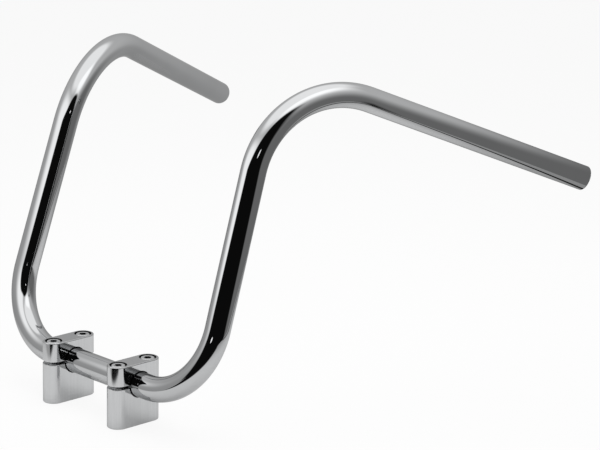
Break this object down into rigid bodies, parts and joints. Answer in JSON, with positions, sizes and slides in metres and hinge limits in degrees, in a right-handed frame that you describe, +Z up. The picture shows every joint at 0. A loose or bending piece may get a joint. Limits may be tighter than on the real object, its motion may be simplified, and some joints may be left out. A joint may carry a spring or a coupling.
{
  "type": "motorcycle handlebar",
  "caption": "High chromed tube handlebar with pulled-back grips, held in a pair of split clamp risers with socket screws.",
  "frame": {"origin": "midway between the two risers, on the plane of their feet", "axes": "+Z up, +X towards the rider's left, -Y towards the front of the bike, so the grips point to +Y"},
  "size_m": [0.503, 0.3893, 0.2985],
  "materials": {
    "chrome_tube": "polished",
    "chrome_clamp": "polished",
    "chrome_screw": "polished"
  },
  "bodies": {
    "root": {"handlebar_tube": "chrome_tube", "left_riser": "chrome_clamp", "left_cap": "chrome_clamp", "left_front_screw": "chrome_screw", "left_rear_screw": "chrome_screw", "right_riser": "chrome_clamp", "right_cap": "chrome_clamp", "right_front_screw": "chrome_screw", "right_rear_screw": "chrome_screw"}
  },
  "joints": []
}
